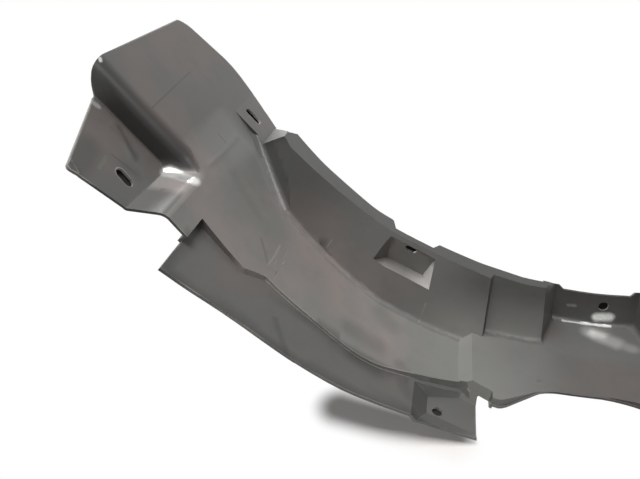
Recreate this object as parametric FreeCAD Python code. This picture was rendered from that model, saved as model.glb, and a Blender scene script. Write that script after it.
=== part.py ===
"""Wheel arch liner: one thin moulded sheet that lines the inside of a car's wheel arch.

The model is made about the wheel axle, which runs along Y. Angles are counted from straight
down, negative towards the nose, and +Y is inboard. The sheet is the difference of two solids:
the space that the sheet wraps round, and the same space grown by the sheet's thickness. It is
then trimmed to its outline and punched. Last, it is set down on the floor in its resting pose.
"""
import FreeCAD
import Part
import math
import os

V = FreeCAD.Vector

# Sheet and arch
SHEET = 2.0
ARCH_RADIUS = 390.0
ALONG = ARCH_RADIUS / 390.0
PANEL_RISE = 10.0
STEP_ANGLE = -16.9
STEP_RUN = 1.1
TAIL_ANGLE = 82.0
NOSE_ANGLE = -51.2
NOSE_BREAK = 1.8
NOSE_LENGTH = 130.0
PLATE_END = 250.0

# Outer band, set down below the channel: how far, at its ends and in the middle
BAND_NOSE_DROP = 6.0
BAND_MIDDLE_DROP = 1.8
BAND_MIDDLE_ANGLE = -34.0
BAND_END_DROP = 7.5
BAND_END_ANGLE = -13.5
BAND_END = -98.5

# Side wall and the flange on its top
WALL_DRAFT = 9.0
FOOT_ROUND = 5.0
PANEL_START = 92.5
FLANGE_NOSE_RADIUS = ARCH_RADIUS - 39.0
FLANGE_NOSE_ANGLE = -50.9
FLANGE_MIDDLE_RADIUS = ARCH_RADIUS - 55.0
FLANGE_MIDDLE_ANGLE = -37.0
FLANGE_RADIUS = ARCH_RADIUS - 60.0
FLANGE_ANGLE = -12.0
PAD_LENGTH = 37.0
PAD_RISE = 4.0
RECESS_RADIUS = ARCH_RADIUS - 39.2
CHEEK_RADIUS = FLANGE_RADIUS - 1.0
CHEEK_SLOPE = 32.5
CHEEK_START = 143.0
CHEEK_END = 50.0

# Turned-down front edge of the panel: the lip beside the clip pocket, then the tail's edge
LIP_TURN = 6.0
LIP_FULL_ANGLE = -11.5
LIP_END_ANGLE = -7.0
EDGE_START_ANGLE = -6.0
EDGE_FULL_ANGLE = 6.0
EDGE_TURN = 6.0

# Nose pocket with the lobe as its floor
POCKET_DEPTH = 21.0
POCKET_LIP = 12.0

# Turns from the wheel's axes to the pose in which the liner comes to rest
REST_ROLL = -2.961
REST_PITCH = 1.195

# Limits of the space, beyond every trimmed edge
SPACE_FRONT = -70.0
SPACE_BACK = 330.0
TAIL_END = 430.0
SPACE_LOW = -ARCH_RADIUS - 70.0
SPACE_HIGH = 60.0
PLAN_LEVEL = PANEL_RISE - ARCH_RADIUS


def polar(radius, angle, y=0.0):
    """Point at a distance from the axle, at an angle from straight down."""
    turn = math.radians(angle)
    return V(radius * math.sin(turn), y, -radius * math.cos(turn))


def seat(radius, angle, tilt=0.0, y=0.0):
    """Placement on the sheet: X runs towards the nose, Y inboard and Z outward."""
    turn = math.radians(angle + tilt)
    along = V(-math.cos(turn), 0, -math.sin(turn))
    out = V(math.sin(turn), 0, -math.cos(turn))
    at = polar(radius, angle, y)
    return FreeCAD.Placement(FreeCAD.Matrix(
        along.x, 0, out.x, at.x,
        along.y, 1, out.y, at.y,
        along.z, 0, out.z, at.z,
        0, 0, 0, 1))


def wall_seat(radius, angle, y, lean):
    """Placement on the side wall: X runs towards the nose, Y towards the axle and Z inboard."""
    level = FreeCAD.Rotation(V(-1, 0, 0), V(0, 0, 1), V(0, 1, 0), "ZXY")
    level = FreeCAD.Placement(polar(radius, angle, y), level)
    turn = FreeCAD.Rotation(V(0, 0, 1), -angle)
    tip = FreeCAD.Rotation(V(1, 0, 0), lean)
    return level.multiply(FreeCAD.Placement(V(0, 0, 0), turn.multiply(tip)))


def rounded_wire(corners):
    """Closed wire in the XY plane through corners (x, y, radius), each rounded."""
    count = len(corners)
    starts = []
    ends = []
    middles = []
    for i in range(count):
        x, y, radius = corners[i]
        here = V(x, y, 0)
        before = V(corners[i - 1][0], corners[i - 1][1], 0)
        after = V(corners[(i + 1) % count][0], corners[(i + 1) % count][1], 0)
        back = (before - here).normalize()
        onward = (after - here).normalize()
        if radius <= 0:
            starts.append(here)
            ends.append(here)
            middles.append(None)
            continue
        half = back.getAngle(onward) / 2
        reach = radius / math.tan(half)
        bisector = (back + onward).normalize()
        starts.append(here + back * reach)
        ends.append(here + onward * reach)
        middles.append(here + bisector * (radius / math.sin(half) - radius))
    edges = []
    for i in range(count):
        if middles[i] is not None:
            edges.append(arc_edge(starts[i], middles[i], ends[i]))
        following = starts[(i + 1) % count]
        if (following - ends[i]).Length > 1e-6:
            edges.append(line_edge(ends[i], following))
    return Part.Wire(edges)


def arc_edge(start, middle, end):
    return Part.Arc(start, middle, end).toShape()


def line_edge(start, end):
    return Part.LineSegment(start, end).toShape()


def grown_face(wire, grow):
    """Face inside a closed plane wire, grown outward in its own plane."""
    face = Part.Face(wire)
    if grow > 0:
        face = face.makeOffset2D(grow, 2)
    return face


def section_prism(edges, grow):
    """Prism along the axle of a closed section in the XZ plane."""
    face = grown_face(Part.Wire(edges), grow)
    face.translate(V(0, SPACE_FRONT, 0))
    return face.extrude(V(0, SPACE_BACK - SPACE_FRONT, 0))


def plan_prism(corners, grow=0.0, draft=0.0):
    """Upright prism of an outline in plan, which leans inboard by the draft as it rises.

    The outline runs along the arch with X, so its X grows with the arch.
    """
    lean = math.tan(math.radians(draft))
    corners = [(x * ALONG, y, radius) for x, y, radius in corners]
    face = grown_face(rounded_wire(corners), grow)
    face.translate(V(0, lean * (SPACE_LOW - PLAN_LEVEL), SPACE_LOW))
    height = SPACE_HIGH - SPACE_LOW
    return face.extrude(V(0, lean * height, height))


def seat_prism(corners, low, high, place):
    """Prism of an outline drawn on the sheet, from a level to another along its outward axis."""
    face = Part.Face(rounded_wire(corners))
    face.translate(V(0, 0, low))
    solid = face.extrude(V(0, 0, high - low))
    solid.Placement = place
    return solid


def drafted_block(sides, depth, rise, grow, corner_radius, floor_radius):
    """Block with drafted sides, sunk below a flat sheet at Z = 0 and open above it.

    sides holds (x, y, draft) for each corner in anticlockwise order, with the draft in degrees
    of the side that starts there.
    """
    count = len(sides)

    def outline(level):
        lines = []
        for i in range(count):
            x, y, draft = sides[i]
            x2, y2 = sides[(i + 1) % count][:2]
            run = V(x2 - x, y2 - y, 0).normalize()
            slope = math.radians(draft)
            shift = grow / math.cos(slope) - level * math.tan(slope)
            lines.append((V(x, y, 0) + V(run.y, -run.x, 0) * shift, run))
        points = []
        for i in range(count):
            p, a = lines[i - 1]
            q, b = lines[i]
            t = ((q.x - p.x) * b.y - (q.y - p.y) * b.x) / (a.x * b.y - a.y * b.x)
            points.append(V(p.x + a.x * t, p.y + a.y * t, level))
        return points

    top = outline(-rise)
    floor = outline(depth + grow)
    faces = [Part.Face(Part.makePolygon(top[::-1] + top[-1:]))]
    faces.append(Part.Face(Part.makePolygon(floor + floor[:1])))
    for i in range(count):
        j = (i + 1) % count
        faces.append(Part.Face(Part.makePolygon([top[i], top[j], floor[j], floor[i], top[i]])))
    block = Part.Solid(Part.makeShell(faces))
    if corner_radius > 0:
        corners = [e for e in block.Edges if abs(e.Vertexes[0].Z - e.Vertexes[-1].Z) > 1e-6]
        block = block.makeFillet(corner_radius + grow, corners)
    if floor_radius > 0:
        level = depth + grow
        rim = [e for e in block.Edges if all(abs(v.Z - level) < 1e-6 for v in e.Vertexes)]
        block = block.makeFillet(floor_radius + grow, rim)
    return block


# The space that the sheet wraps round

def drum_space(grow):
    """Channel floor: the flat nose plate, the arch, and nearer the axle past the step."""
    step_top = STEP_ANGLE + STEP_RUN
    over = TAIL_ANGLE + 8
    panel_radius = ARCH_RADIUS - PANEL_RISE
    axle = V(0, 0, 0)
    plate_end = nose_seat().multVec(V(PLATE_END, 0, 0))
    start = polar(ARCH_RADIUS, NOSE_ANGLE)
    low = polar(ARCH_RADIUS, STEP_ANGLE)
    high = polar(panel_radius, step_top)
    end = polar(panel_radius, over)
    return section_prism([
        line_edge(axle, plate_end),
        line_edge(plate_end, start),
        arc_edge(start, polar(ARCH_RADIUS, (NOSE_ANGLE + STEP_ANGLE) / 2), low),
        line_edge(low, high),
        arc_edge(high, polar(panel_radius, (step_top + over) / 2), end),
        line_edge(end, axle),
    ], grow)


def nose_seat():
    return seat(ARCH_RADIUS, NOSE_ANGLE, -NOSE_BREAK)


def nose_space(grow):
    """Nose plate again, with the deep pocket that is open at the front and at the end."""
    plate = Part.makeBox(
        PLATE_END - 4, SPACE_BACK - SPACE_FRONT, ARCH_RADIUS + grow, V(4, SPACE_FRONT, -ARCH_RADIUS))
    sides = [(21, -40, 0), (170, -40, 0), (170, 69, 10), (21, 89, 40)]
    pocket = drafted_block(sides, POCKET_DEPTH, 20, grow, 9, 2)
    space = plate.fuse(pocket).removeSplitter()
    rim = []
    for edge in space.Edges:
        level = all(abs(v.Z - grow) < 1e-6 for v in edge.Vertexes)
        middle = edge.valueAt((edge.FirstParameter + edge.LastParameter) / 2)
        if level and 5 < middle.x < 169 and -39 - grow < middle.y < 120:
            rim.append(edge)
    space = space.makeFillet(POCKET_LIP - grow, rim)
    space.Placement = nose_seat()
    return space


def wall_space(grow):
    """Everything outboard of the side wall, with its pad, its recess and its flared end."""
    wall = plan_prism([
        (-620, 532, 0),
        (-265, 122, 0),
        (-225, 113, 0),
        (-182, 106, 0),
        (-PANEL_START - 2.5, 111, 0),
        (-PANEL_START, 118, 0),
        (-30, 129, 0),
        (560, 129, 0),
        (560, -90, 0),
        (-620, -90, 0),
    ], grow, WALL_DRAFT)
    sides = [(-42, -90, 0), (24, -90, 20), (38, 80, 0), (-33, 80, 10)]
    recess = drafted_block(sides, 0, 60, grow, 0, 0)
    recess.Placement = recess_seat()
    return wall.fuse(recess)


def nose_limit(grow):
    """Everything outboard of the plane that ends the side wall's flare past the nose."""
    return plan_prism([
        (-620, 113, 0),
        (-620, -90, 0),
        (560, -90, 0),
        (560, 315, 0),
    ], grow, WALL_DRAFT)


def foot_edges(space, radius, first, last):
    """Edges of the wall's foot on the channel floor of that radius, in a range of X."""
    found = []
    for edge in space.Edges:
        run = edge.LastParameter - edge.FirstParameter
        spots = [edge.valueAt(edge.FirstParameter + share * run) for share in (0, 0.5, 1)]
        on_floor = all(abs(math.hypot(v.x, v.z) - radius) < 0.01 for v in spots)
        if on_floor and all(first < v.x < last and v.y > 90 for v in spots):
            found.append(edge)
    return found


def trough_space(grow):
    """Channel with its side wall, rounded along the wall's foot on both sides of the step."""
    space = drum_space(grow).fuse(nose_space(grow)).common(wall_space(grow)).removeSplitter()
    radius = ARCH_RADIUS + grow
    step = polar(ARCH_RADIUS, STEP_ANGLE).x
    before = foot_edges(space, radius, -radius, step + 1)
    space = space.makeFillet(FOOT_ROUND + grow, before)
    after = foot_edges(space, radius - PANEL_RISE, -PANEL_START * ALONG - 1, radius)
    space = space.makeFillet(FOOT_ROUND + grow, after)
    return space.common(nose_limit(grow))


def recess_seat():
    return wall_seat(ARCH_RADIUS - 12, 0, 165, WALL_DRAFT)


def wall_pocket(grow):
    """Small pocket in the side wall, open at the flange, with a steep floor."""
    sides = [(-23, -20, 2), (10, -22, 49), (31, 30, 0), (-18, 30, 39)]
    pocket = drafted_block(sides, 0, 25, grow, 0, 0)
    pocket.Placement = wall_pocket_seat()
    return pocket


def wall_pocket_seat():
    return wall_seat(ARCH_RADIUS - 54, -28.5, 121.5, -15)


def flange_space(grow):
    """Everything above the flange, which comes down past the wall's end to a pad on the nose."""
    over = TAIL_ANGLE + 8
    axle = V(0, 0, 0)
    place = nose_seat()
    plate_end = place.multVec(V(PLATE_END, 0, 0))
    pad_foot = place.multVec(V(PAD_LENGTH, 0, 0))
    pad_top = place.multVec(V(0, 0, -PAD_RISE))
    first = polar(FLANGE_NOSE_RADIUS, FLANGE_NOSE_ANGLE)
    middle = polar(FLANGE_MIDDLE_RADIUS, FLANGE_MIDDLE_ANGLE)
    last = polar(FLANGE_RADIUS, FLANGE_ANGLE)
    end = polar(FLANGE_RADIUS, over)
    return section_prism([
        line_edge(axle, plate_end),
        line_edge(plate_end, pad_foot),
        line_edge(pad_foot, pad_top),
        line_edge(pad_top, first),
        arc_edge(first, middle, last),
        arc_edge(last, polar(FLANGE_RADIUS, (FLANGE_ANGLE + over) / 2), end),
        line_edge(end, axle),
    ], grow)


def band_space(grow):
    """Outer band: a flatter arc than the channel's, so the step between them fades and returns."""
    axle = V(0, 0, 0)
    nose = polar(ARCH_RADIUS + BAND_NOSE_DROP, NOSE_ANGLE)
    middle = polar(ARCH_RADIUS + BAND_MIDDLE_DROP, BAND_MIDDLE_ANGLE)
    last = polar(ARCH_RADIUS + BAND_END_DROP, BAND_END_ANGLE)
    above = V(last.x, 0, last.z + 60)
    arc = section_prism([
        line_edge(axle, nose),
        arc_edge(nose, middle, last),
        line_edge(last, above),
        line_edge(above, axle),
    ], grow)
    step = plan_prism([
        (-340, 56, 0),
        (-340, -90, 0),
        (-60, -90, 0),
        (-60, 20, 0),
        (BAND_END, 50, 0),
        (-112, 61, 0),
        (-182, 38, 60),
        (-262, 52, 0),
        (-274, 42, 0),
    ], grow)
    return arc.common(step)


def clip_pocket(grow):
    """Low pocket at the band's end, open at the trimmed edge, for a clip."""
    sides = [(18, 32, 45), (18, 49, 5), (-6, 56, 5), (-26, 50, 0), (-26, 23, 65)]
    block = drafted_block(sides, 0, 22, grow, 0, 0)
    block.Placement = clip_seat()
    return block


def clip_seat():
    return seat(ARCH_RADIUS + 12, -17, 7.5)


def front_line():
    """Front edge of the panel in plan, from the trimmed corner beside the clip pocket."""
    return [
        (BAND_END, 50, 0),
        (-86, 43, 12),
        (-46, 71, 40),
        (10, 75.5, 100),
        (150, 42, 300),
        (TAIL_END, 42, 0),
    ]


def edge_space(grow):
    """Space in front of the panel's turned-down edge, deep beside the clip and at the tail."""
    over = TAIL_ANGLE + 8
    axle = V(0, 0, 0)
    panel_radius = ARCH_RADIUS - PANEL_RISE
    lip_start = polar(panel_radius + LIP_TURN, LIP_FULL_ANGLE - 5)
    lip_full = polar(panel_radius + LIP_TURN, LIP_FULL_ANGLE)
    lip_end = polar(panel_radius - 1, LIP_END_ANGLE)
    first = polar(panel_radius - 1, EDGE_START_ANGLE)
    grown = polar(panel_radius + EDGE_TURN, EDGE_FULL_ANGLE)
    end = polar(panel_radius + EDGE_TURN, over)
    section = section_prism([
        line_edge(axle, lip_start),
        line_edge(lip_start, lip_full),
        line_edge(lip_full, lip_end),
        line_edge(lip_end, first),
        line_edge(first, grown),
        arc_edge(grown, polar(panel_radius + EDGE_TURN, (EDGE_FULL_ANGLE + over) / 2), end),
        line_edge(end, axle),
    ], grow)
    plan = plan_prism([(BAND_END - 4, -60, 0), (BAND_END - 4, 52, 0)] + front_line() + [(TAIL_END, -60, 0)], grow)
    return section.common(plan)


def liner_space(grow):
    space = trough_space(grow)
    extras = [flange_space(grow), band_space(grow), clip_pocket(grow), wall_pocket(grow)]
    extras = extras + [edge_space(grow)]
    space = space.fuse(extras)
    return space.removeSplitter()


def trim():
    """Outline of the sheet: the arch in plan, and the nose square to its plate."""
    arch = plan_prism([
        (-340, -25, 0),
        (-310, -11, 60),
        (-270, -1, 150),
        (-200, 2, 200),
        (-150, 12, 100),
        (BAND_END, 18, 0),
    ] + [(x, y - 1, radius) for x, y, radius in front_line()] + [
        (TAIL_END, CHEEK_START + 6, 0),
        (CHEEK_END, CHEEK_START + 6, 0),
        (CHEEK_END, 176, 0),
        (-CHEEK_END, 176, 0),
        (-CHEEK_END, CHEEK_START, 0),
        (-103, 138, 0),
        (-138, 137, 0),
        (-143, 128, 0),
        (-174, 129, 0),
        (-177, 140, 0),
        (-192, 140, 40),
        (-238, 158, 80),
        (-266, 174, 0),
        (-272, 166, 0),
        (-304, 230, 0),
    ])
    sector = Part.Wire([
        line_edge(V(0, 0, 0), polar(700, NOSE_ANGLE)),
        arc_edge(polar(700, NOSE_ANGLE), polar(700, 0), polar(700, TAIL_ANGLE)),
        line_edge(polar(700, TAIL_ANGLE), V(0, 0, 0)),
    ])
    sector = Part.Face(sector)
    sector.translate(V(0, SPACE_FRONT, 0))
    arch = arch.common(sector.extrude(V(0, SPACE_BACK - SPACE_FRONT, 0)))
    arch = arch.cut(recess_top_cut())
    beside_clip = Part.makeBox(60, 125, ARCH_RADIUS / 3, V(BAND_END * ALONG, SPACE_FRONT, SPACE_LOW))
    drum = Part.makeCylinder(ARCH_RADIUS, SPACE_BACK, V(0, SPACE_FRONT, 0), V(0, 1, 0))
    arch = arch.cut(beside_clip.cut(drum))
    nose = seat_prism([
        (-8, 23, 0),
        (40, 20, 0),
        (68, 10, 4),
        (81, 5, 3),
        (107.5, 71.5, 0),
        (126, 72.5, 0),
        (NOSE_LENGTH, 145, 900),
        (128, 214, 26),
        (66, 243, 60),
        (38, 241, 0),
        (0, 227, 0),
        (-8, 200, 0),
    ], -16, 60, nose_seat())
    inside_pad = Part.makeCylinder(
        ARCH_RADIUS - PAD_RISE - 0.5, SPACE_BACK, V(0, 0, 0), V(0, 1, 0))
    nose = nose.cut([nose_end_cut(), inside_pad])
    return arch.fuse(nose)


def recess_top_cut():
    """Cutter for the recess wall's top edge, with a sloping cheek up to the flange at each end."""
    hub = Part.makeCylinder(RECESS_RADIUS, SPACE_BACK, V(0, 0, 0), V(0, 1, 0))
    middle = Part.Face(Part.makePolygon([
        V(-23, 0, -RECESS_RADIUS - 2),
        V(26, 0, -RECESS_RADIUS - 2),
        V(36, 0, -RECESS_RADIUS + 11),
        V(36, 0, 0),
        V(-36, 0, 0),
        V(-36, 0, -RECESS_RADIUS + 10),
        V(-23, 0, -RECESS_RADIUS - 2),
    ]))
    middle = middle.extrude(V(0, SPACE_BACK, 0))
    run = 60
    outer = CHEEK_RADIUS + run * math.tan(math.radians(CHEEK_SLOPE))
    cone = Part.makeCone(CHEEK_RADIUS, outer, run, V(0, CHEEK_START, 0), V(0, 1, 0))
    cheeks = Part.makeBox(2 * CHEEK_END, run, ARCH_RADIUS, V(-CHEEK_END, CHEEK_START, -ARCH_RADIUS))
    return hub.common(middle).fuse(cone.common(cheeks))


def nose_end_cut():
    """Cutter behind the arc to which the nose pocket's wall is trimmed."""
    start = V(126, SPACE_FRONT, 0)
    end = V(108, SPACE_FRONT, POCKET_DEPTH)
    far = V(108, SPACE_FRONT, 70)
    outer = V(200, SPACE_FRONT, 70)
    top = V(200, SPACE_FRONT, 0)
    face = Part.Face(Part.Wire([
        arc_edge(start, V(121.5, SPACE_FRONT, 9), end),
        line_edge(end, far),
        line_edge(far, outer),
        line_edge(outer, top),
        line_edge(top, start),
    ]))
    cutter = face.extrude(V(0, SPACE_BACK - SPACE_FRONT, 0))
    cutter.Placement = nose_seat()
    return cutter


def slot(length, width, place):
    """Cutter for a round-ended slot along the placement's X axis."""
    reach = (length - width) / 2
    bar = Part.makeBox(2 * reach, width, 24, V(-reach, -width / 2, -12))
    ends = [Part.makeCylinder(width / 2, 24, V(x, 0, -12)) for x in (-reach, reach)]
    cutter = bar.fuse(ends).removeSplitter()
    cutter.Placement = place
    return cutter


def round_hole(diameter, place):
    """Cutter for a round hole square to the placement's XY plane."""
    hole = Part.makeCylinder(diameter / 2, 24, V(0, 0, -12))
    hole.Placement = place
    return hole


def shifted(place, x, y, z):
    return place.multiply(FreeCAD.Placement(V(x, y, z), FreeCAD.Rotation()))


def punched_holes():
    return [
        slot(15, 8, shifted(nose_seat(), 54, 40, POCKET_DEPTH)),
        slot(18, 8, shifted(nose_seat(), 22.5, 208, 0)),
        round_hole(8, shifted(clip_seat(), 10, 36, 0)),
        slot(10, 5, shifted(wall_pocket_seat(), 0, -1, 0)),
        round_hole(8, shifted(recess_seat(), -9, 17, 0)),
    ]


def make_liner():
    """The trimmed and punched sheet, about the wheel axle."""
    sheet = liner_space(SHEET).cut(liner_space(0.0))
    sheet = sheet.common(trim())
    sheet = sheet.cut(punched_holes())
    return sheet.Solids[0]


def set_down(liner):
    """Turn the liner until it lies as it comes to rest, and stand its box on the origin."""
    roll = FreeCAD.Rotation(V(1, 0, 0), REST_ROLL)
    pitch = FreeCAD.Rotation(V(0, 1, 0), REST_PITCH)
    liner = liner.copy()
    liner.Placement = FreeCAD.Placement(V(0, 0, 0), pitch.multiply(roll))
    box = liner.optimalBoundingBox()
    liner.translate(V(-box.Center.x, -box.Center.y, -box.ZMin))
    return liner


def main():
    liner = set_down(make_liner())
    os.makedirs("parts", exist_ok=True)
    liner.exportStep("parts/arch_liner.step")
    box = liner.BoundBox
    print("faces", len(liner.Faces), "valid", liner.isValid(), "volume", round(liner.Volume))
    print("size", round(box.XLength, 1), round(box.YLength, 1), round(box.ZLength, 1))


main()
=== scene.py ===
import math

import bmesh
import bpy
import numpy as np
from mathutils import Matrix, Vector
from mathutils.bvhtree import BVHTree


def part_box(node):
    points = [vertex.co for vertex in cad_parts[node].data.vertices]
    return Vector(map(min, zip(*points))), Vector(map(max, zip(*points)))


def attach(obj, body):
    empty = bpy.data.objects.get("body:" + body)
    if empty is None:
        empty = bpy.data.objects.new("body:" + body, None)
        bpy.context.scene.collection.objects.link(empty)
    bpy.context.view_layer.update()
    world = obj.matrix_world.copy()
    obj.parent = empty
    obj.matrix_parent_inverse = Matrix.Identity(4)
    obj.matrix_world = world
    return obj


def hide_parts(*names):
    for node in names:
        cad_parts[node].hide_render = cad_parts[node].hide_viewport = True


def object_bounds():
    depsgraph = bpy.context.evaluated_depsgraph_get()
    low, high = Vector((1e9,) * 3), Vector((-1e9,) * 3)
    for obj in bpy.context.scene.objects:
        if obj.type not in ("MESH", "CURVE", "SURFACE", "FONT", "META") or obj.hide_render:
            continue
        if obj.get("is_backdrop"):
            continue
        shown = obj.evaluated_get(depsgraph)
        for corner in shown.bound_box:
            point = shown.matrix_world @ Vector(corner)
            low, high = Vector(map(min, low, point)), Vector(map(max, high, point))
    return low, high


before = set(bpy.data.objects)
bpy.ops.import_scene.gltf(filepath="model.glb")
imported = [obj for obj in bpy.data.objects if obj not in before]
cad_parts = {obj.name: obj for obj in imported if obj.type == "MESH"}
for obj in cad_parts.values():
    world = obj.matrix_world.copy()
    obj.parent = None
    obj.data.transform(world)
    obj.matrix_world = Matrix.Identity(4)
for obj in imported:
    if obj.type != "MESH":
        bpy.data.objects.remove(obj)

CAD_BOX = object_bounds()

bl_info = {
    "name": "Wheel Arch Liner",
    "version": (1, 0, 0),
    "blender": (4, 5, 0),
    "location": "3D View > Sidebar > Liner",
    "description": "Dresses the wheel arch liner in dark moulded plastic and sets its studio",
    "category": "Object",
}

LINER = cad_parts["arch_liner"]
MM = 0.001

# The liner at rest: its turn from the wheel's axes and the axle's place, as the CAD sets it down
REST_ROLL = math.radians(-2.961)
REST_PITCH = math.radians(1.195)
AXLE_AT = Vector((0.003955, -0.103588, 0.389785))
TURN = Matrix.Rotation(REST_PITCH, 3, "Y") @ Matrix.Rotation(REST_ROLL, 3, "X")

# Lengths below are in the axle's millimetres, and turns in degrees from straight down, unless a
# comment says otherwise. x runs along the car, y along the axle from its outer end, and z up.

# The sheet's thickness and arcs: those about the axle, the band's and the flange's
SHEET = 2.0
AXLE_ARCS = (330, 380, 386, 390)
BAND_ARC = ((396, -51.2), (391.8, -34), (397.5, -13.5))
FLANGE_ARC = ((351, -50.9), (335, -37), (330, -12))

# How far inside and outside its arc a flat facet's corner may lie, and how squarely it faces it
FACET_INSIDE = 0.25
FACET_OUTSIDE = 0.02
FACET_FACING = 0.985

# Edges sharper than this stay sharp, and those sharper than the second part two patches
SHARP_ANGLE = math.radians(22)
PATCH_ANGLE = math.radians(45)

# A patch is a cut edge where most of its area has much more plastic behind it than one sheet
RIM_START = 0.05
RIM_LOOK = 12
RIM_DEPTH = 1.6 * SHEET
RIM_SHARE = 0.6
FAR_FROM_RIM = 0.1 / MM

# Each fold: its line on the sheet, its outward direction, how far it is pushed that way, and its
# half width
FOLDS = (
    (((-273, 83, -279), (-267, 73, -284), (-263, 65, -288)), (0.69, 0, -0.72), 1.5, 3.5),
    (((-262, 95, -289), (-262, 78, -289), (-263, 65, -288)), (0.68, 0, -0.73), 1.3, 3.5),
    (((-263, 65, -288), (-262, 52, -289)), (0.68, 0, -0.73), 1.0, 4.0),
    (((-246, 23, -305), (-240, 13, -310), (-233, 3, -315)), (0.61, 0, -0.79), 0.8, 5.0),
    (((-52, 78, -376), (-51, 79, -376)), (0.13, 0, -0.99), 0.6, 3.0),
    (((-371, 70, -190), (-365, 66, -199), (-357, 61, -208)), (-0.8, 0, -0.6), -0.7, 3.0),
    (((-370, 12, -192), (-365, 9, -198)), (-0.8, 0, -0.6), -0.7, 1.6),
    (((-317, 163, -228), (-316, 125, -228), (-317, 100, -227)), (-0.79, 0, -0.61), -0.3, 2.5),
    (((-310, 181, -237), (-296, 166, -254), (-283, 148, -268)), (-0.75, 0, -0.66), -0.6, 4.0),
    (((-302, 120, -246), (-294, 117, -256), (-280, 109, -271)), (-0.72, 0, -0.69), 0.5, 6.0),
)

# How deep a fold reaches through the sheet, the mesh cells beside it as a share of its half
# width, and the smallest of them
FOLD_THROUGH = 8
FOLD_CELL = 0.6
FOLD_CELL_LEAST = 1.2

# The sheet's waves: per radian round the arch, per millimetre across it, phase and share
WAVES = ((31, 0.021, 0.4, 0.4), (17, -0.047, 1.9, 0.4), (53, 0.063, 0.0, 0.2))

# Painted light and shade: how much lighter or darker each sheet part is than the plain plastic
CHANNEL_LIFT = 0.72
CHANNEL_MIDDLE_LIFT = 0.2
FLANGE_DROP = 0.42
FLANGE_RIGHT_DROP = 0.1
TAIL_DROP = 0.2
WALL_RIGHT_LIFT = 0.7
WALL_FOOT_LIFT = 1.1
WALL_TOP_DROP = 0.45
RECESS_DROP = 0.7
NOSE_WALL_DROP = 0.78
NOSE_TOP_LIFT = 0.45
RISER_LIFT = 0.25
RISER_DENT_LIFT = 1.6
BAND_FRONT_DROP = 0.38
FOOT_DROP = 0.3

# The even painted light of small faces, partly painted highlight, as shares of the plain plastic
WALL_POCKET_FLOOR = 2.7
WALL_POCKET_RAMP = 1.9
WALL_POCKET_RAMP_LIFT = 1.9
WALL_POCKET_END = 5.5
STEP_RAMP = 2.1
CLIP_POCKET_WALL = 1.9
NOSE_POCKET_END = 1.9

# The plastic's noises, in waves a metre, and its cool and warm shades: a share of the plain
# colour, and what is added to it
CLOUD_SCALE = 11.0
FINE_SCALE = 60.0
GRAIN_SCALE = 900.0
COOL = (0.94, (-0.003, 0.0, 0.003))
WARM = (1.05, (0.012, -0.002, 0.001))
MOTTLED = 0.8
# The darker patches' share of the plain colour; on the folds they are painted shade
DARK_PATCH_SHARE = 0.5
# Worn cut edges with a painted highlight, as a share of the plain colour
WORN_AND_LIT_EDGE = 2.7
# The painted highlights' pale colour
HIGHLIGHT_COLOUR = (0.9, 0.9, 0.88)

# Where each of them fades in: the noise's values or the gap to the edge, and then its strength
CLOUD_FADE = (0.4, 0.66)
MOTTLING_FADE = (0.45, 0.75, 0.35)
EDGE_WEAR_AND_LIGHT_FADE = (1.2, 0.4, 0.8)
EDGE_WEAR_AND_LIGHT_CLOUD_FADE = (0.4, 0.55)
LINE_CORE = 0.3
LINE_STRENGTH = 0.8

# How ragged the darker patches and the painted highlights are, in metres
DARK_PATCH_RAGGED = 0.012
HIGHLIGHT_RAGGED = 0.004

# How the roughness varies over the plastic
ROUGH_SHIFT = -0.06
ROUGH_CLOUDS = 0.08
ROUGH_MOTTLING = 0.06
ROUGH_HIGHLIGHT = -0.2

# How much light the plastic's gloss takes
GLOSS_LEVEL = 0.35

# The surface's bump, its height in metres, and the shares of grain, scratches and lines in it
BUMP_STRENGTH = 0.1
BUMP_HEIGHT = 0.0004
GRAIN_RISE = 0.7
LINE_DEPTH = 0.6

# Darker patches, those on the folds painted shade in their creases: from, to, inner and outer
# reach, and strength
DARK_PATCHES = (
    ((-196, 62, -332), (-176, 60, -344), 2, 16, 0.5),
    ((-192, 38, -341), (-176, 36, -349), 2, 13, 0.45),
    ((-246, 23, -305), (-233, 3, -315), 1, 5, 0.45),
    ((-180, 98, -346), (-170, 90, -350), 2, 14, 0.3),
    ((-369, 34, -190), (-368, 12, -195), 2, 16, 0.6),
    ((-158, 52, -356), (-150, 30, -366), 1, 9, 0.4),
    ((-370, 69, -191), (-357, 64, -208), 2, 7, 0.45),
    ((-357, 48, -209), (-351, 52, -217), 1, 8, 0.35),
)

# Painted highlights, pale metallic patches that reflect the pale ground: from, to, inner and outer
# reach, and strength
PAINTED_HIGHLIGHTS = (
    ((6, 167, -372.5), (16, 167, -371.0), 1.6, 6.0, 0.95),
    ((-22, 163, -378.8), (18, 163.5, -378.8), 0.2, 1.8, 0.5),
    ((0, 152, -380), (18, 142, -380), 2, 12, 0.3),
    ((18, 142, -380), (30, 136, -380), 1, 9, 0.16),
    ((-340, 77, -225), (-319, 73, -228), 2.4, 7.5, 0.8),
    ((-20, 168, -364), (-14, 168, -364), 0.4, 2.5, 0.2),
    ((-380, 80, -146), (-379, 79, -147), 0.5, 2.2, 0.7),
    ((-383, 69, -174), (-382, 70, -176), 0.5, 3.0, 0.5),
    ((-106, 56, -375), (-101, 50, -379), 0.3, 1.8, 0.5),
)
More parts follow.
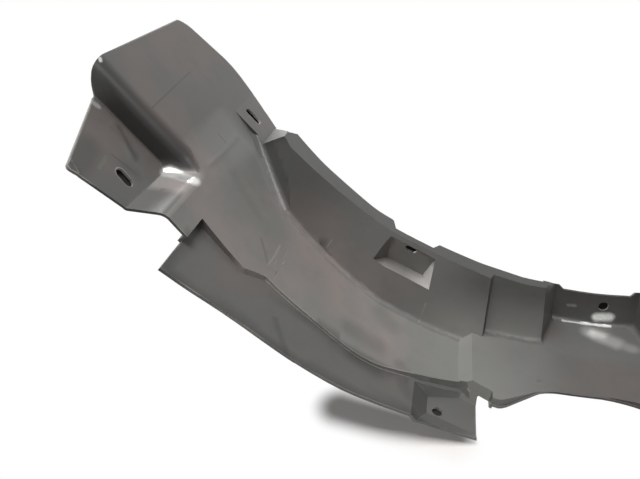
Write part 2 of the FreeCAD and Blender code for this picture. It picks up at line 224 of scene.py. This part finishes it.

# Scratches, and lines of painted light and shade along folds and dents: from, to, width, and
# how light they are beside the plastic
SCRATCHES_AND_SHADING_LINES = (
    ((-354.9, 167.5, -176.7), (-353.6, 136.1, -178.5), 0.9, 0.7),
    ((-353.6, 136.1, -178.5), (-351.6, 89.0, -181.5), 0.9, 0.65),
    ((-324.3, 140.6, -217.3), (-318.2, 140.7, -225.5), 1.0, 0.6),
    ((-144.0, 113.8, -342.0), (-147.9, 110.3, -359.5), 0.9, 1.6),
    ((-226.2, 126.2, -298.2), (-230.3, 126.0, -305.5), 0.9, 1.5),
    ((-363, 46, -200.5), (-351, 52, -217), 1.0, 0.55),
    ((-362, 27, -202), (-364, 40, -200), 2.0, 1.2),
    ((-370, 12, -192), (-365, 9, -198), 1.0, 2.2),
    ((-373, 9, -188), (-368, 6, -195), 0.8, 2.0),
    ((-382, 75, -173), (-355, 79, -209), 1.0, 1.9),
    ((-325, 188, -216), (-311, 188, -236), 1.0, 0.6),
    ((-274, 84, -278), (-267, 73, -284), 1.6, 0.72),
    ((-267, 73, -284), (-263, 65, -288), 1.6, 0.72),
    ((-262, 95, -289), (-262, 78, -289), 1.4, 1.3),
    ((-262, 78, -289), (-263, 65, -288), 1.4, 1.3),
    ((-52, 78, -376), (-50, 79, -376), 2.2, 0.6),
)

# The camera, placed from the photograph in metres. Its lens is given in the photograph's pixels.
CAMERA_AT = (-0.145245, -0.392440, 0.362571)
CAMERA_ALONG = (-0.189806, 0.810712, -0.553823)
CAMERA_UP = (-0.089749, 0.547389, 0.832052)
LENS_PIXELS = 588.0
PHOTO_WIDTH = 640.0
SENSOR_WIDTH = 36.0

# The floor's size in metres, the shade of what it gives back to the liner, and how much of the
# liner's shadow it shows where it shows any
FLOOR_SIZE = 12.0
FLOOR_BOUNCE = (0.22, 0.21, 0.2)
SHADOW_SHARE = 0.9

# Parts of the floor that show the liner's shadow: from, to, inner and outer reach in metres
SHADED = (
    ((-0.205, -0.09, 0), (-0.12, -0.104, 0), 0.006, 0.026),
    ((-0.18, 0.02, 0), (0.36, 0.02, 0), 0.03, 0.05),
)

# The holes in metres: middle, outward axis, and the radius of the dark card of painted shade
# behind each one
HOLES = (
    ((-0.35368, -0.07469, 0.18153), (0.811, 0.0311, 0.5842), 0.0105),
    ((-0.3184, 0.09244, 0.15961), (0.811, 0.0311, 0.5842), 0.0095),
    ((-0.1631, 0.00271, 0.09118), (-0.1272, -0.9764, -0.1746), 0.0085),
    ((0.00525, 0.04519, 0.02029), (0.0043, -0.9783, 0.2072), 0.0055),
    ((-0.13142, -0.08741, 0.00839), (0.1856, 0.0509, 0.9813), 0.0055),
)
CARD_GAP = 0.0032
# The painted shade's colour on the cards behind the holes
HOLE_SHADE_COLOUR = (0.04, 0.037, 0.034)

# The lamps: name, place and size in metres, share of the key light, and whether only gloss
# shows it. All aim at the same point.
LAMPS = (
    ("overhead", (-0.45, -0.15, 1.9), 1.0, 1.0, False),
    ("back_sheen", (-1.1, 1.3, 1.0), 0.7, 1.0, True),
    ("front_sheen", (0.35, -0.82, 0.93), 0.4, 0.2, True),
)
LAMPS_AIM = Vector((-0.1, 0, 0.1))
ROOM_GLOW = 0.12
ROOM_COLOUR = (1, 0.96, 0.92)
WHITE = (1, 1, 1)


def in_frame(point):
    """A point in the axle's millimetres, in the frame's metres."""
    return TURN @ (Vector(point) * MM) + AXLE_AT


def opaque(colour):
    """A colour with the alpha that a colour socket takes."""
    return (*colour, 1.0)


# Shader maths

# Sockets of a Mix node for colours, which share their names with its other sockets
MIX_FACTOR, MIX_FIRST, MIX_SECOND, MIX_RESULT = 0, 6, 7, 2


class Value:
    """A socket whose operators add Math nodes."""

    def __init__(self, graph, socket):
        self.graph = graph
        self.socket = socket

    def _math(self, operation, first, second):
        return self.graph.node(
            "ShaderNodeMath", {"operation": operation}, {0: first, 1: second})

    def __add__(self, other):
        return self._math("ADD", self, other)

    __radd__ = __add__

    def __sub__(self, other):
        return self._math("SUBTRACT", self, other)

    def __rsub__(self, other):
        return self._math("SUBTRACT", other, self)

    def __mul__(self, other):
        return self._math("MULTIPLY", self, other)

    __rmul__ = __mul__

    def max(self, other):
        return self._math("MAXIMUM", self, other)

    def min(self, other):
        return self._math("MINIMUM", self, other)


class Graph:
    """The nodes of one material or world, added through one method."""

    def __init__(self, owner):
        owner.use_nodes = True
        self.tree = owner.node_tree
        self.tree.nodes.clear()

    def node(self, kind, settings=None, inputs=None, output=0):
        """Adds a node, its settings first, and returns one of its outputs."""
        made = self.tree.nodes.new(kind)
        for key, value in (settings or {}).items():
            setattr(made, key, value)
        for key, value in (inputs or {}).items():
            if isinstance(value, Value):
                self.tree.links.new(value.socket, made.inputs[key])
            else:
                made.inputs[key].default_value = value
        return Value(self, made.outputs[output]) if made.outputs else None

    def mix_colour(self, factor, first, second):
        return self.node(
            "ShaderNodeMix", {"data_type": "RGBA"},
            {MIX_FACTOR: factor, MIX_FIRST: first, MIX_SECOND: second}, MIX_RESULT)

    def mix_shader(self, factor, first, second):
        return self.node("ShaderNodeMixShader", {}, {0: factor, 1: first, 2: second})

    def noise(self, place, scale, detail, roughness=0.5):
        return self.node("ShaderNodeTexNoise", {}, {
            "Vector": place, "Scale": scale, "Detail": detail, "Roughness": roughness})

    def painted(self, name):
        """A value that is painted on the mesh."""
        return self.node("ShaderNodeAttribute", {"attribute_name": name}, output="Fac")

    def fade(self, value, outer, inner, high=1.0):
        """From 0 at the outer value to high at the inner one, smoothly."""
        return self.node("ShaderNodeMapRange", {"interpolation_type": "SMOOTHSTEP"}, {
            "Value": value, "From Min": outer, "From Max": inner, "To Min": 0.0, "To Max": high})

    def vector(self, operation, first, second, output="Vector"):
        return self.node("ShaderNodeVectorMath", {"operation": operation},
                         {0: first, 1: second}, output)

    def scaled(self, vector, scale):
        return self.node("ShaderNodeVectorMath", {"operation": "SCALE"},
                         {0: vector, "Scale": scale})

    def distance(self, place, start, end):
        """Distance from the line between two points, in the frame."""
        run = end - start
        from_start = self.vector("SUBTRACT", place, start)
        share = self.vector("DOT_PRODUCT", from_start, run / run.length_squared, "Value")
        nearest = self.scaled(run, share.max(0.0).min(1.0))
        return self.vector("DISTANCE", from_start, nearest, "Value")


def look_matrix(at, forward, up):
    """Matrix of a camera or lamp at a point, looking along forward."""
    back = -Vector(forward).normalized()
    right = Vector(up).cross(back).normalized()
    top = back.cross(right)
    turn = Matrix((right, top, back)).transposed().to_4x4()
    return Matrix.Translation(Vector(at)) @ turn


# The settings that a user would change

class LinerLook(bpy.types.PropertyGroup):
    """The sheet's plastic and mesh."""
    plastic: bpy.props.FloatVectorProperty(
        name="Plastic", description="Colour of the moulded plastic", subtype="COLOR",
        size=3, min=0.0, max=1.0, default=(0.132, 0.129, 0.12))
    roughness: bpy.props.FloatProperty(
        name="Roughness", description="How dull the moulded surface is", subtype="FACTOR",
        min=0.0, max=1.0, default=0.42)
    cell: bpy.props.FloatProperty(
        name="Mesh cell", description="Size of the sheet's mesh cells", unit="LENGTH",
        min=0.004, max=0.02, default=0.008)
    wave: bpy.props.FloatProperty(
        name="Waviness", description="Height of the sheet's soft waves", unit="LENGTH",
        min=0.0, max=0.002, default=0.0003)


class StudioLook(bpy.types.PropertyGroup):
    """The floor and the light."""
    floor: bpy.props.FloatVectorProperty(
        name="Floor", description="Colour of the floor", subtype="COLOR",
        size=3, min=0.0, max=1.0, default=(0.94, 0.91, 0.88))
    key_power: bpy.props.FloatProperty(
        name="Key light", description="Power of the soft light overhead",
        unit="POWER", min=0.0, default=36.0)


# The sheet's mesh, finer than the CAD's, with the dents and folds of the real one

def arc_of(points):
    """Centre and radius in the XZ plane of the arc through three (radius, angle) points."""
    spots = []
    for radius, angle in points:
        turn = math.radians(angle)
        spots.append(complex(radius * math.sin(turn), -radius * math.cos(turn)))
    a, b, c = spots
    w = (c - a) / (b - a)
    centre = (b - a) * (w - abs(w) ** 2) / (2j * w.imag) + a
    return (centre.real, centre.imag), abs(a - centre)


def sheet_arcs():
    """Centre and radius of every arc of the sheet, on its inside and its outside."""
    arcs = [((0.0, 0.0), float(radius)) for radius in AXLE_ARCS]
    arcs += [arc_of(BAND_ARC), arc_of(FLANGE_ARC)]
    return arcs + [(centre, radius + SHEET) for centre, radius in arcs]


def with_corners(faces):
    """The faces with their edges and corners, as the cutting takes them."""
    edges = {edge for face in faces for edge in face.edges}
    corners = {vertex for face in faces for vertex in face.verts}
    return list(corners) + list(edges) + list(faces)


def cut_slabs(bm, faces, axis, planes):
    """Cuts the faces across an axis at the planes, halving the list of planes each time."""
    if not planes or not faces:
        return faces
    middle = len(planes) // 2
    at, across = Vector((0, 0, 0)), Vector((0, 0, 0))
    at[axis] = planes[middle]
    across[axis] = 1.0
    cut = bmesh.ops.bisect_plane(
        bm, geom=with_corners(faces), dist=1e-6, plane_co=at, plane_no=across)["geom"]
    cut = [part for part in cut if isinstance(part, bmesh.types.BMFace)]
    below = [face for face in cut if face.calc_center_median()[axis] < at[axis]]
    above = [face for face in cut if face.calc_center_median()[axis] >= at[axis]]
    below = cut_slabs(bm, below, axis, planes[:middle])
    return below + cut_slabs(bm, above, axis, planes[middle + 1:])


def cut_cells(bm, faces, low, high, cell):
    """Cuts the faces along planes one cell apart, so that the sheet can take soft shapes."""
    for axis in range(3):
        count = max(int((high[axis] - low[axis]) / cell), 1)
        planes = [low[axis] + (i + 0.5) * cell for i in range(count)]
        faces = cut_slabs(bm, faces, axis, planes)


def cut_near(bm, centre, reach, cell):
    """Cuts the faces within reach of a point into smaller cells."""
    faces = [face for face in bm.faces if (face.calc_center_median() - centre).length < reach]
    room = Vector((reach, reach, reach))
    cut_cells(bm, faces, centre - room, centre + room, cell)


def cut_folds(bm):
    """Cuts small cells along the folds, so that they can bend."""
    for line, out, depth, width in FOLDS:
        cell = max(width * FOLD_CELL, FOLD_CELL_LEAST) * MM
        for start, end in zip(line, line[1:]):
            middle = (Vector(start) + Vector(end)) / 2
            reach = (Vector(end) - Vector(start)).length / 2 + 2 * width
            cut_near(bm, in_frame(middle), reach * MM, cell)


def onto_arcs(bm, spots, normals):
    """Moves the corners of an arc's flat facets out to the arc itself."""
    corners = [[vertex.index for vertex in face.verts] for face in bm.faces]
    owner = np.repeat(np.arange(len(corners)), [len(face) for face in corners])
    corners = np.concatenate(corners)
    for (x, z), radius in sheet_arcs():
        across = spots[:, (0, 2)] - (x, z)
        far = np.hypot(across[:, 0], across[:, 1])
        near = (far > radius - FACET_INSIDE) & (far < radius + FACET_OUTSIDE)
        facing = (across[corners] * normals[owner][:, (0, 2)]).sum(1) / far[corners]
        here = np.zeros(len(spots), bool)
        here[corners[np.abs(facing) > FACET_FACING]] = True
        here &= near
        spots[here, 0] = x + across[here, 0] * (radius / far[here])
        spots[here, 2] = z + across[here, 1] * (radius / far[here])


def fold_in(spots):
    """Pushes the folds and dents into both sides of the sheet alike."""
    moves = np.zeros_like(spots)
    for line, out, depth, width in FOLDS:
        out = np.array(out) / np.linalg.norm(out)
        nearest = np.full(len(spots), np.inf)
        for start, end in zip(line, line[1:]):
            start, run = np.array(start, float), np.subtract(end, start).astype(float)
            share = np.clip((spots - start) @ run / (run @ run), 0, 1)
            gap = spots - start - share[:, None] * run
            along = gap @ out
            flat = np.linalg.norm(gap - along[:, None] * out, axis=1)
            flat[np.abs(along) >= FOLD_THROUGH] = np.inf
            nearest = np.minimum(nearest, flat)
        moves += (depth * np.exp(-(nearest / width) ** 2))[:, None] * out
    return moves


def waves(spots, height):
    """Soft waves of a thin moulding, a little different along and across the arch."""
    turn = np.arctan2(spots[:, 0], -spots[:, 2])
    rise = sum(np.sin(turn * around + spots[:, 1] * across + phase) * share
               for around, across, phase, share in WAVES)
    inward = np.stack([-np.sin(turn), np.zeros_like(turn), np.cos(turn)], 1)
    return inward * (rise * height)[:, None]


def shape_sheet(bm, height, low, high):
    """Rounds the arcs and adds the folds and waves, inside the box of the CAD."""
    turn = np.array(TURN)
    at = np.array(AXLE_AT)
    bm.normal_update()
    spots = np.array([vertex.co for vertex in bm.verts])
    normals = np.array([face.normal for face in bm.faces]) @ turn
    spots = (spots - at) @ turn / MM
    bm.verts.index_update()
    onto_arcs(bm, spots, normals)
    spots += fold_in(spots) + waves(spots, height)
    spots = spots @ turn.T * MM + at
    spots = np.clip(spots, np.array(low), np.array(high))
    for vertex, spot in zip(bm.verts, spots):
        vertex.co = spot


# The sheet's painted values: its painted light and shade, and how near it is to a cut edge

def patches(bm):
    """The faces in groups that hang together without a sharp edge between them."""
    waiting = set(bm.faces)
    while waiting:
        patch, front = [], [waiting.pop()]
        while front:
            face = front.pop()
            patch.append(face)
            for edge in face.edges:
                if edge.calc_face_angle(0.0) < PATCH_ANGLE:
                    beyond = [other for other in edge.link_faces if other in waiting]
                    waiting.difference_update(beyond)
                    front.extend(beyond)
        yield patch


def rim_tree(bm):
    """A search tree of the faces on the sheet's cut edges, without those on its two sides."""
    tree = BVHTree.FromBMesh(bm)
    rims = []
    for patch in patches(bm):
        area = deep = 0.0
        for face in patch:
            start = face.calc_center_median() - face.normal * RIM_START * MM
            gap = tree.ray_cast(start, -face.normal, RIM_LOOK * MM)[3]
            area += face.calc_area()
            deep += face.calc_area() if gap is None or gap > RIM_DEPTH * MM else 0.0
        if deep > RIM_SHARE * area:
            rims += [[corner.co.copy() for corner in face.verts] for face in patch]
    corners = [corner for rim in rims for corner in rim]
    ends = np.cumsum([0] + [len(rim) for rim in rims])
    return BVHTree.FromPolygons(corners, [range(a, b) for a, b in zip(ends, ends[1:])])


def rim_gaps(mesh, rims):
    """How far each vertex is from the nearest cut edge of the sheet."""
    gaps = [rims.find_nearest(vertex.co, FAR_FROM_RIM * MM)[3] for vertex in mesh.vertices]
    return np.array([FAR_FROM_RIM if gap is None else gap / MM for gap in gaps])


def soft(value, start, end):
    """From 0 at start to 1 at end, smoothly."""
    share = np.clip((value - start) / (end - start), 0, 1)
    return share * share * (3 - 2 * share)


def inside(value, low, high):
    """Where the value lies between two limits."""
    return (value > low) & (value < high)


class Corners:
    """The mesh's face corners in the axle's axes: where they are and which way they face."""

    def __init__(self, mesh, gaps):
        spots = np.zeros(len(mesh.vertices) * 3)
        mesh.vertices.foreach_get("co", spots)
        vertices = np.zeros(len(mesh.loops), int)
        mesh.loops.foreach_get("vertex_index", vertices)
        normals = np.zeros(len(mesh.loops) * 3)
        mesh.corner_normals.foreach_get("vector", normals)
        turn = np.array(TURN)
        spots = (spots.reshape(-1, 3) - np.array(AXLE_AT)) @ turn / MM
        self.x, self.y, self.z = spots[vertices].T
        self.out_x, self.out_y, self.out_z = (normals.reshape(-1, 3) @ turn).T
        self.rim_gap = gaps[vertices]
        self.far = np.hypot(self.x, self.z)
        self.turned = np.degrees(np.arctan2(self.x, -self.z))
        to_axle = -(self.x * self.out_x + self.z * self.out_z) / self.far
        self.inward = soft(to_axle, 0.55, 0.85)
        self.forward = soft(-self.out_y, 0.6, 0.9)
        self.on_nose = soft(self.turned, -50, -52)


def sheet_light_and_shade(at):
    """The painted light and shade of the channel, flange and tail, and of the back wall."""
    in_channel = inside(at.far, 375, 391.2)
    channel = soft(at.turned, -64, -52) * soft(at.turned, -3, -15) * soft(at.y, 186, 165)
    middle = soft(at.turned, -36, -28) * soft(at.turned, -12, -20) * soft(at.y, 46, 70)
    lift = CHANNEL_LIFT * channel + CHANNEL_MIDDLE_LIFT * middle
    light_and_shade = 1 + at.inward * lift * in_channel

    on_flange = at.far < 374
    flange_right = soft(at.turned, -35, -18)
    light_and_shade -= at.inward * on_flange * (FLANGE_DROP + FLANGE_RIGHT_DROP * flange_right)
    tail = soft(at.turned, -8, -2) * soft(at.y, 125, 105)
    light_and_shade -= at.inward * TAIL_DROP * tail

    # Painted light and shade: the back wall lighter to the right and to its foot, the recess dark
    to_right = soft(at.turned, -46, -34)
    to_foot = soft(at.far, 348, 380) * soft(at.turned, -27, -15)
    to_top = soft(at.far, 356, 336) * soft(at.turned, -25, -16)
    in_recess = soft(at.turned, -7.5, -6)
    wall = 1 + WALL_RIGHT_LIFT * to_right + WALL_FOOT_LIFT * to_foot
    wall *= (1 - WALL_TOP_DROP * to_top) * (1 - RECESS_DROP * in_recess)
    return light_and_shade + at.forward * (1 - at.on_nose) * (wall - 1)


def nose_and_band_light_and_shade(at, light_and_shade):
    """Adds painted shade to the nose's wall and the band, and painted light to the band's step."""
    # Painted shade: the nose's own wall goes from grey at its rounded top to nearly black
    nose_top = soft(at.turned, -64, -68) * soft(at.far, 407, 411)
    nose_wall = at.on_nose * soft(-at.out_y, 0.1, 0.75)
    light_and_shade = light_and_shade * (1 - nose_wall * (NOSE_WALL_DROP - NOSE_TOP_LIFT * nose_top))

    # Painted light makes the band's step lightest where it runs out at the dented corner of the
    # channel, and painted shade makes the band darker along its front edge
    by_band = inside(at.turned, -52, -20)
    riser = soft(-at.out_y, 0.4, 0.7) * (at.y < 62) * by_band
    at_dent = soft(at.turned, -46.5, -44.5) * soft(at.turned, -38, -42)
    light_and_shade *= 1 + riser * (RISER_LIFT + RISER_DENT_LIFT * at_dent)
    band_front = at.inward * soft(at.rim_gap, 9, 1) * (at.y < 45) * by_band
    return light_and_shade * (1 - BAND_FRONT_DROP * band_front)


def even_painted_light(at):
    """The small faces that have one even painted light each: where they are, and how light."""
    in_pocket = (at.y > 115) & inside(at.turned, -31, -22) & inside(at.far, 335, 366)
    ramp = WALL_POCKET_RAMP + WALL_POCKET_RAMP_LIFT * soft(at.x, -166, -146)
    on_step = inside(at.turned, -18, -15) & (at.out_x < -0.4)
    on_nose_end = inside(at.turned, -57, -53) & inside(at.y, 55, 95) & (at.out_z > 0.85)
    return (
        (in_pocket & (at.out_z < -0.1) & (at.out_y < -0.9), WALL_POCKET_FLOOR),
        (in_pocket & (at.out_z > 0.6), ramp),
        (in_pocket & (at.out_x < -0.6), WALL_POCKET_END),
        (on_step & (at.y > 52), STEP_RAMP),
        (on_step & (at.y < 52) & (at.out_y < -0.6), CLIP_POCKET_WALL),
        (on_nose_end, NOSE_POCKET_END),
    )


def foot_shade(at):
    """The painted shade that darkens the foot of the back wall, to no lighter than the channel."""
    slanted = soft(-at.out_y, 0.1, 0.35) * soft(-at.out_y, 0.95, 0.7)
    foot = slanted * (at.y > 100) * (at.far > 370) * (1 - at.on_nose)
    return 1 - FOOT_DROP * foot


def paint_sheet(mesh, gaps):
    """Writes each face corner's painted light and shade beside the plain plastic, and how far it
    is from a cut edge that gets wear and a painted highlight. The top of the back wall gets
    neither."""
    at = Corners(mesh, gaps)
    light_and_shade = nose_and_band_light_and_shade(at, sheet_light_and_shade(at))
    for here, even in even_painted_light(at):
        light_and_shade = np.where(here, even, light_and_shade)
    light_and_shade = light_and_shade * foot_shade(at)
    edges_unworn_and_unlit = (at.y > 100) & (at.turned > -50)
    edge_wear_and_highlight = np.where(edges_unworn_and_unlit, FAR_FROM_RIM, at.rim_gap)
    for name, values in (("light_and_shade", light_and_shade), ("edge_wear_and_highlight", edge_wear_and_highlight)):
        mesh.attributes.new(name, "FLOAT", "CORNER").data.foreach_set("value", values)


def plastic_material(look):
    """Dark moulded plastic, cloudy and finely grained, with darker patches, scratches, lines of
    painted light and shade, painted highlights, and worn edges with a painted highlight.
    """
    material = bpy.data.materials.new("dark_moulded_plastic")
    g = Graph(material)
    place = g.node("ShaderNodeTexCoord", output="Object")
    plain = Vector(look.plastic)
    cloud = g.noise(place, CLOUD_SCALE, 3.0)
    fine = g.noise(place, FINE_SCALE, 4.0, 0.6)
    cool, warm = (opaque(plain * share + Vector(shift)) for share, shift in (COOL, WARM))
    colour = g.mix_colour(g.fade(cloud, *CLOUD_FADE), cool, warm)
    colour = g.mix_colour(g.fade(fine, *MOTTLING_FADE), colour, opaque(plain * MOTTLED))
    ragged = fine - 0.5
    # Darker patches; those on the folds are painted shade in their creases
    for start, end, inner, outer, strength in DARK_PATCHES:
        far = g.distance(place, in_frame(start), in_frame(end)) + ragged * DARK_PATCH_RAGGED
        dark_patch = g.fade(far, outer * MM, inner * MM, strength)
        colour = g.mix_colour(dark_patch, colour, opaque(plain * DARK_PATCH_SHARE))
    line_marks = None
    # Scratches, and lines of painted light and shade along folds and dents
    for start, end, width, shade in SCRATCHES_AND_SHADING_LINES:
        far = g.distance(place, in_frame(start), in_frame(end))
        line_mark = g.fade(far, width * MM, width * LINE_CORE * MM, LINE_STRENGTH)
        colour = g.mix_colour(line_mark, colour, opaque(plain * shade))
        line_marks = line_mark if line_marks is None else line_marks.max(line_mark)
    # The painted light and shade written on the mesh
    colour = g.scaled(colour, g.painted("light_and_shade"))
    # Cut edges lighter: wear with a painted highlight along them
    edge_wear_and_highlight = g.fade(g.painted("edge_wear_and_highlight"), *EDGE_WEAR_AND_LIGHT_FADE) * g.fade(cloud, *EDGE_WEAR_AND_LIGHT_CLOUD_FADE)
    colour = g.mix_colour(edge_wear_and_highlight, colour, opaque(plain * WORN_AND_LIT_EDGE))
    highlights = None
    # Painted highlights: pale, metallic and smoother patches
    for start, end, inner, outer, strength in PAINTED_HIGHLIGHTS:
        far = g.distance(place, in_frame(start), in_frame(end)) + ragged * HIGHLIGHT_RAGGED
        highlight = g.fade(far, outer * MM, inner * MM, strength)
        highlights = highlight if highlights is None else highlights.max(highlight)
    colour = g.mix_colour(highlights, colour, opaque(HIGHLIGHT_COLOUR))
    rough = look.roughness + ROUGH_SHIFT + cloud * ROUGH_CLOUDS + fine * ROUGH_MOTTLING
    rough += highlights * ROUGH_HIGHLIGHT
    height = g.noise(place, GRAIN_SCALE, 2.0) * GRAIN_RISE - line_marks * LINE_DEPTH
    bump = g.node("ShaderNodeBump", {}, {
        "Strength": BUMP_STRENGTH, "Distance": BUMP_HEIGHT, "Height": height})
    shader = g.node("ShaderNodeBsdfPrincipled", {}, {
        "Base Color": colour, "Roughness": rough, "Normal": bump, "Metallic": highlights,
        "Specular IOR Level": GLOSS_LEVEL})
    g.node("ShaderNodeOutputMaterial", {}, {"Surface": shader})
    return material


class LINER_OT_sheet(bpy.types.Operator):
    """Makes the moulded sheet with its soft waves, dents and folds, and its plastic"""
    bl_idname = "liner.sheet"
    bl_label = "Moulded sheet"

    def execute(self, context):
        look = context.scene.liner_look
        bm = bmesh.new()
        bm.from_mesh(LINER.data)
        bmesh.ops.remove_doubles(bm, verts=bm.verts, dist=1e-5)
        bmesh.ops.dissolve_degenerate(bm, edges=bm.edges, dist=1e-5)
        bm.normal_update()
        rims = rim_tree(bm)
        for edge in bm.edges:
            edge.smooth = edge.calc_face_angle(0.0) < SHARP_ANGLE
        for face in bm.faces:
            face.smooth = True
        low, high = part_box("arch_liner")
        cut_cells(bm, bm.faces[:], low, high, look.cell)
        cut_folds(bm)
        shape_sheet(bm, look.wave / MM, low, high)
        mesh = bpy.data.meshes.new("liner_sheet")
        bm.to_mesh(mesh)
        bm.free()
        paint_sheet(mesh, rim_gaps(mesh, rims))
        sheet = bpy.data.objects.new("liner_sheet", mesh)
        context.scene.collection.objects.link(sheet)
        mesh.materials.append(plastic_material(look))
        normals = sheet.modifiers.new("normals", "WEIGHTED_NORMAL")
        normals.keep_sharp = True
        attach(sheet, "root")
        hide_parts("arch_liner")
        return {"FINISHED"}


class LINER_OT_studio(bpy.types.Operator):
    """Makes the floor, the lamps, the world and the camera"""
    bl_idname = "liner.studio"
    bl_label = "Studio"

    def execute(self, context):
        look = context.scene.studio_look
        self.add_floor(look)
        self.add_hole_shade_cards(context)
        self.add_world(context)
        for name, at, size, share, sheen in LAMPS:
            self.add_lamp(context, name, at, size, look.key_power * share, sheen)
        self.add_camera(context)
        return {"FINISHED"}

    def seen(self, g):
        """1 for rays that show the background: from the camera, a gloss or through glass."""
        camera = g.node("ShaderNodeLightPath", output="Is Camera Ray")
        glossy = g.node("ShaderNodeLightPath", output="Is Glossy Ray")
        through = g.node("ShaderNodeLightPath", output="Is Transmission Ray")
        return camera.max(glossy).max(through)

    def add_floor(self, look):
        """A pale floor, pure white where it is seen except for the liner's shadow."""
        material = bpy.data.materials.new("pale_floor")
        g = Graph(material)
        matt = g.node("ShaderNodeBsdfDiffuse", {}, {"Color": opaque(look.floor)})
        bounce = g.node("ShaderNodeBsdfDiffuse", {}, {"Color": opaque(FLOOR_BOUNCE)})
        white = g.node("ShaderNodeEmission", {}, {"Color": opaque(WHITE), "Strength": 1.0})
        place = g.node("ShaderNodeNewGeometry", output="Position")
        shaded = None
        for start, end, inner, outer in SHADED:
            near = g.distance(place, Vector(start), Vector(end))
            shade = g.fade(near, outer, inner, SHADOW_SHARE)
            shaded = shade if shaded is None else shaded.max(shade)
        shown = g.mix_shader(shaded, white, matt)
        surface = g.mix_shader(self.seen(g), bounce, shown)
        g.node("ShaderNodeOutputMaterial", {}, {"Surface": surface})
        bpy.ops.mesh.primitive_plane_add(size=FLOOR_SIZE)
        floor = bpy.context.object
        floor.name = "floor"
        floor.data.materials.append(material)
        floor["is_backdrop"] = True

    def add_hole_shade_cards(self, context):
        """Dark cards of painted shade behind the holes, for the shaded ground seen through them,
        seen only from the front.
        """
        bm = bmesh.new()
        for spot, axis, radius in HOLES:
            spot, axis = Vector(spot), Vector(axis)
            sight = (spot - Vector(CAMERA_AT)).normalized()
            centre = Matrix.Translation(spot + sight * (CARD_GAP / -sight.dot(axis)))
            turn = axis.to_track_quat("Z", "Y").to_matrix().to_4x4()
            bmesh.ops.create_circle(
                bm, cap_ends=True, segments=24, radius=radius, matrix=centre @ turn)
        mesh = bpy.data.meshes.new("hole_shade_cards")
        bm.to_mesh(mesh)
        bm.free()
        material = bpy.data.materials.new("painted_hole_shade")
        g = Graph(material)
        behind = g.node("ShaderNodeNewGeometry", output="Backfacing")
        dark = g.node("ShaderNodeBsdfDiffuse", {}, {"Color": opaque(HOLE_SHADE_COLOUR)})
        clear = g.node("ShaderNodeBsdfTransparent")
        surface = g.mix_shader(behind, dark, clear)
        g.node("ShaderNodeOutputMaterial", {}, {"Surface": surface})
        mesh.materials.append(material)
        cards = bpy.data.objects.new("hole_shade_cards", mesh)
        cards.visible_diffuse = cards.visible_glossy = cards.visible_shadow = False
        context.scene.collection.objects.link(cards)
        cards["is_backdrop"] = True

    def add_world(self, context):
        """A white background, and a dim warm glow on the liner."""
        world = bpy.data.worlds.new("studio")
        context.scene.world = world
        g = Graph(world)
        glow = g.node("ShaderNodeBackground", {}, {
            "Color": opaque(ROOM_COLOUR), "Strength": ROOM_GLOW})
        white = g.node("ShaderNodeBackground", {}, {"Color": opaque(WHITE), "Strength": 1.0})
        surface = g.mix_shader(self.seen(g), glow, white)
        g.node("ShaderNodeOutputWorld", {}, {"Surface": surface})

    def add_lamp(self, context, name, at, size, power, sheen):
        """A square lamp that faces the liner. A sheen lamp shows only in the plastic's gloss."""
        data = bpy.data.lights.new(name, "AREA")
        data.energy = power
        data.size = size
        lamp = bpy.data.objects.new(name, data)
        lamp.matrix_world = look_matrix(at, LAMPS_AIM - Vector(at), (0, 1, 0.1))
        lamp.visible_diffuse = not sheen
        context.scene.collection.objects.link(lamp)

    def add_camera(self, context):
        """The camera at the photo's angle."""
        data = bpy.data.cameras.new("camera")
        data.sensor_width = SENSOR_WIDTH
        data.sensor_fit = "HORIZONTAL"
        data.lens = LENS_PIXELS * SENSOR_WIDTH / PHOTO_WIDTH
        camera = bpy.data.objects.new("camera", data)
        camera.matrix_world = look_matrix(CAMERA_AT, CAMERA_ALONG, CAMERA_UP)
        context.scene.collection.objects.link(camera)
        context.scene.camera = camera


class LINER_PT_panel(bpy.types.Panel):
    """The liner's settings and buttons, in the 3D view's sidebar"""
    bl_label = "Wheel arch liner"
    bl_idname = "LINER_PT_panel"
    bl_space_type = "VIEW_3D"
    bl_region_type = "UI"
    bl_category = "Liner"

    def draw(self, context):
        layout = self.layout
        scene = context.scene
        for name in ("plastic", "roughness", "cell", "wave"):
            layout.prop(scene.liner_look, name)
        layout.operator("liner.sheet")
        layout.prop(scene.studio_look, "floor")
        layout.prop(scene.studio_look, "key_power")
        layout.operator("liner.studio")


CLASSES = (LinerLook, StudioLook, LINER_OT_sheet, LINER_OT_studio, LINER_PT_panel)


def register():
    for cls in CLASSES:
        bpy.utils.register_class(cls)
    bpy.types.Scene.liner_look = bpy.props.PointerProperty(type=LinerLook)
    bpy.types.Scene.studio_look = bpy.props.PointerProperty(type=StudioLook)


def unregister():
    del bpy.types.Scene.studio_look
    del bpy.types.Scene.liner_look
    for cls in reversed(CLASSES):
        bpy.utils.unregister_class(cls)


def main():
    register()
    bpy.context.scene.view_settings.view_transform = "Standard"
    bpy.ops.liner.sheet()
    bpy.ops.liner.studio()
    [[list(corner) for corner in box] for box in (CAD_BOX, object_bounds())]


if __name__ == "__main__":
    main()
